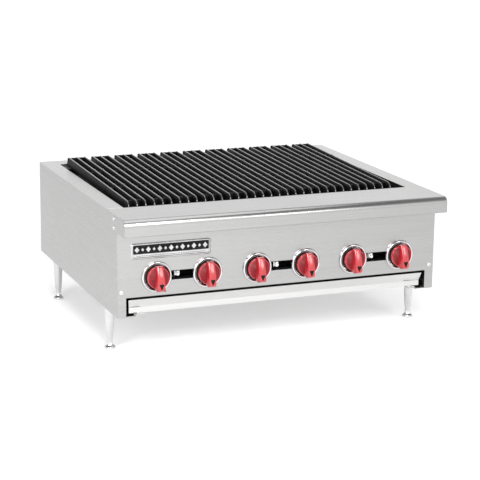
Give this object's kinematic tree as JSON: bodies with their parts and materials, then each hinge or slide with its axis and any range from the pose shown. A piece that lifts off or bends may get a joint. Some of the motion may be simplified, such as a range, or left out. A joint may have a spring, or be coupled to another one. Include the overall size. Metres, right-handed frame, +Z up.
{
  "type": "gas charbroiler",
  "caption": "Countertop gas charbroiler with lift-off cast-iron grates, front valve knobs, pilot windows, a slide-out crumb tray and adjustable legs.",
  "frame": {"origin": "centre of the bounding box, on the surface the feet stand on", "axes": "+X to the right of a cook facing the knobs, +Y towards the back, +Z up"},
  "size_m": [0.9188, 0.857, 0.403],
  "materials": {
    "stainless": "fine horizontal brushed grain",
    "liner_steel": "dull aluminised sheet, heat stained",
    "cast_iron": "black seasoned casting, slightly glossy crests",
    "burner_iron": "grey-brown bare casting",
    "black_steel": "black heat-resistant paint, satin",
    "chrome": "bright polished plate",
    "knob_red": "red moulded plastic, glossy",
    "brass": "turned brass",
    "valve_alloy": "die-cast, matt",
    "nameplate": "pressed plate, satin, with a black painted band",
    "zinc": "bright zinc plate"
  },
  "bodies": {
    "cabinet": {"left_side_panel": "stainless", "right_side_panel": "stainless", "back_panel": "stainless", "front_panel": "stainless", "bullnose_ledge": "stainless", "tray_rail_left": "stainless", "tray_rail_right": "stainless", "firebox_liner_left": "liner_steel", "firebox_liner_right": "liner_steel", "firebox_liner_rear": "liner_steel", "firebox_liner_front": "liner_steel", "radiants": "liner_steel", "radiant_rails": "liner_steel", "grate_rail_front": "black_steel", "grate_rail_rear": "black_steel", "manifold_pipe": "black_steel", "manifold_plug": "black_steel", "gas_inlet_pipe": "black_steel", "burners": "burner_iron", "manifold_brackets": "zinc", "gas_valves": "valve_alloy", "pilot_valves": "valve_alloy", "pilot_tubes": "valve_alloy", "pilot_burners": "brass", "knob_bezels": "chrome", "nameplate": "nameplate", "sheet_screws": "chrome", "leg_nuts": "zinc", "leg_front_left": "chrome", "leg_front_right": "chrome", "leg_rear_left": "chrome", "leg_rear_right": "chrome"},
    "knob_1": {"knob_1": "knob_red", "valve_stem_1": "brass"},
    "knob_2": {"knob_2": "knob_red", "valve_stem_2": "brass"},
    "knob_3": {"knob_3": "knob_red", "valve_stem_3": "brass"},
    "knob_4": {"knob_4": "knob_red", "valve_stem_4": "brass"},
    "knob_5": {"knob_5": "knob_red", "valve_stem_5": "brass"},
    "knob_6": {"knob_6": "knob_red", "valve_stem_6": "brass"},
    "crumb_tray": {"crumb_tray": "stainless"},
    "grate_01": {"grate_01": "cast_iron"},
    "grate_02": {"grate_02": "cast_iron"},
    "grate_03": {"grate_03": "cast_iron"},
    "grate_04": {"grate_04": "cast_iron"},
    "grate_05": {"grate_05": "cast_iron"},
    "grate_06": {"grate_06": "cast_iron"},
    "grate_07": {"grate_07": "cast_iron"},
    "grate_08": {"grate_08": "cast_iron"},
    "grate_09": {"grate_09": "cast_iron"},
    "grate_10": {"grate_10": "cast_iron"},
    "grate_11": {"grate_11": "cast_iron"},
    "foot_front_left": {"foot_front_left": "chrome"},
    "foot_front_right": {"foot_front_right": "chrome"},
    "foot_rear_left": {"foot_rear_left": "chrome"},
    "foot_rear_right": {"foot_rear_right": "chrome"}
  },
  "joints": [
    {"name": "knob_turn_1", "type": "hinge", "parent": "cabinet", "child": "knob_1", "pos_m": [-0.35, -0.3825, 0.216], "axis": [0, -1, 0], "range_deg": [0, 90]},
    {"name": "knob_turn_2", "type": "hinge", "parent": "cabinet", "child": "knob_2", "pos_m": [-0.21, -0.3825, 0.216], "axis": [0, -1, 0], "range_deg": [0, 90]},
    {"name": "knob_turn_3", "type": "hinge", "parent": "cabinet", "child": "knob_3", "pos_m": [-0.07, -0.3825, 0.216], "axis": [0, -1, 0], "range_deg": [0, 90]},
    {"name": "knob_turn_4", "type": "hinge", "parent": "cabinet", "child": "knob_4", "pos_m": [0.07, -0.3825, 0.216], "axis": [0, -1, 0], "range_deg": [0, 90]},
    {"name": "knob_turn_5", "type": "hinge", "parent": "cabinet", "child": "knob_5", "pos_m": [0.21, -0.3825, 0.216], "axis": [0, -1, 0], "range_deg": [0, 90]},
    {"name": "knob_turn_6", "type": "hinge", "parent": "cabinet", "child": "knob_6", "pos_m": [0.35, -0.3825, 0.216], "axis": [0, -1, 0], "range_deg": [0, 90]},
    {"name": "tray_slide", "type": "slide", "parent": "cabinet", "child": "crumb_tray", "axis": [0, -1, 0], "range_m": [0, 0.5]},
    {"name": "grate_lift_01", "type": "slide", "parent": "cabinet", "child": "grate_01", "axis": [0, 0, 1], "range_m": [0, 0.15]},
    {"name": "grate_lift_02", "type": "slide", "parent": "cabinet", "child": "grate_02", "axis": [0, 0, 1], "range_m": [0, 0.15]},
    {"name": "grate_lift_03", "type": "slide", "parent": "cabinet", "child": "grate_03", "axis": [0, 0, 1], "range_m": [0, 0.15]},
    {"name": "grate_lift_04", "type": "slide", "parent": "cabinet", "child": "grate_04", "axis": [0, 0, 1], "range_m": [0, 0.15]},
    {"name": "grate_lift_05", "type": "slide", "parent": "cabinet", "child": "grate_05", "axis": [0, 0, 1], "range_m": [0, 0.15]},
    {"name": "grate_lift_06", "type": "slide", "parent": "cabinet", "child": "grate_06", "axis": [0, 0, 1], "range_m": [0, 0.15]},
    {"name": "grate_lift_07", "type": "slide", "parent": "cabinet", "child": "grate_07", "axis": [0, 0, 1], "range_m": [0, 0.15]},
    {"name": "grate_lift_08", "type": "slide", "parent": "cabinet", "child": "grate_08", "axis": [0, 0, 1], "range_m": [0, 0.15]},
    {"name": "grate_lift_09", "type": "slide", "parent": "cabinet", "child": "grate_09", "axis": [0, 0, 1], "range_m": [0, 0.15]},
    {"name": "grate_lift_10", "type": "slide", "parent": "cabinet", "child": "grate_10", "axis": [0, 0, 1], "range_m": [0, 0.15]},
    {"name": "grate_lift_11", "type": "slide", "parent": "cabinet", "child": "grate_11", "axis": [0, 0, 1], "range_m": [0, 0.15]},
    {"name": "foot_screw_front_left", "type": "slide", "parent": "cabinet", "child": "foot_front_left", "axis": [0, 0, -1], "range_m": [0, 0.025]},
    {"name": "foot_screw_front_right", "type": "slide", "parent": "cabinet", "child": "foot_front_right", "axis": [0, 0, -1], "range_m": [0, 0.025]},
    {"name": "foot_screw_rear_left", "type": "slide", "parent": "cabinet", "child": "foot_rear_left", "axis": [0, 0, -1], "range_m": [0, 0.025]},
    {"name": "foot_screw_rear_right", "type": "slide", "parent": "cabinet", "child": "foot_rear_right", "axis": [0, 0, -1], "range_m": [0, 0.025]}
  ]
}
